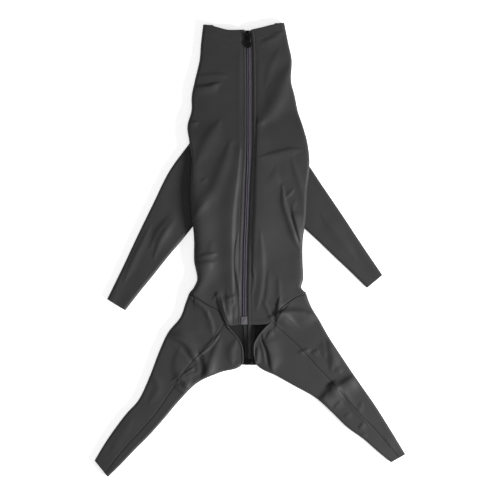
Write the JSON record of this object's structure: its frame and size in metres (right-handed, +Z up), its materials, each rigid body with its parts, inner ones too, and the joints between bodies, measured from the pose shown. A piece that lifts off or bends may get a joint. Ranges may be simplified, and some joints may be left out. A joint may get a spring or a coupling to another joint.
{
  "type": "dog jumpsuit",
  "caption": "Full-body dog jumpsuit of smooth dark grey stretch cloth, laid flat on its belly: long back zip, front sleeves, rear legs, open neck and a tail opening with a belly zip.",
  "frame": {"origin": "on the floor under the middle of the suit's outline as it lies", "axes": "+Z up, +Y towards the neck, +X towards the suit's right side as seen from above"},
  "size_m": [0.4662, 0.681, 0.0207],
  "materials": {
    "stretch_cloth": "smooth matte stretch jersey, charcoal grey",
    "zip_tape": "woven zip tape, lilac grey",
    "zip_coil": "nylon coil, lilac grey",
    "zip_stop": "folded tape stop, light grey",
    "black_metal": "black lacquer, half gloss",
    "belly_zip_tape": "woven zip tape, black",
    "belly_zip_coil": "nylon coil, black"
  },
  "bodies": {
    "garment": {"back_left": "stretch_cloth", "back_right": "stretch_cloth", "belly_panel": "stretch_cloth", "sleeve_left": "stretch_cloth", "sleeve_right": "stretch_cloth", "leg_left_outer": "stretch_cloth", "leg_left_inner": "stretch_cloth", "leg_right_outer": "stretch_cloth", "leg_right_inner": "stretch_cloth", "tail_binding_left": "stretch_cloth", "tail_binding_right": "stretch_cloth", "zip_tape_left": "zip_tape", "zip_tape_right": "zip_tape", "zip_chain": "zip_coil", "zip_bottom_stop": "zip_stop", "zip_slider": "black_metal", "belly_zip_tape_left": "belly_zip_tape", "belly_zip_tape_right": "belly_zip_tape", "belly_zip_chain": "belly_zip_coil", "belly_zip_slider": "black_metal"},
    "pull": {"zip_pull": "black_metal"}
  },
  "joints": [
    {"name": "pull_hinge", "type": "hinge", "parent": "garment", "child": "pull", "pos_m": [-0.00349, 0.31972, 0.01414], "axis": [-1, 0, 0], "range_deg": [0, 165]}
  ]
}
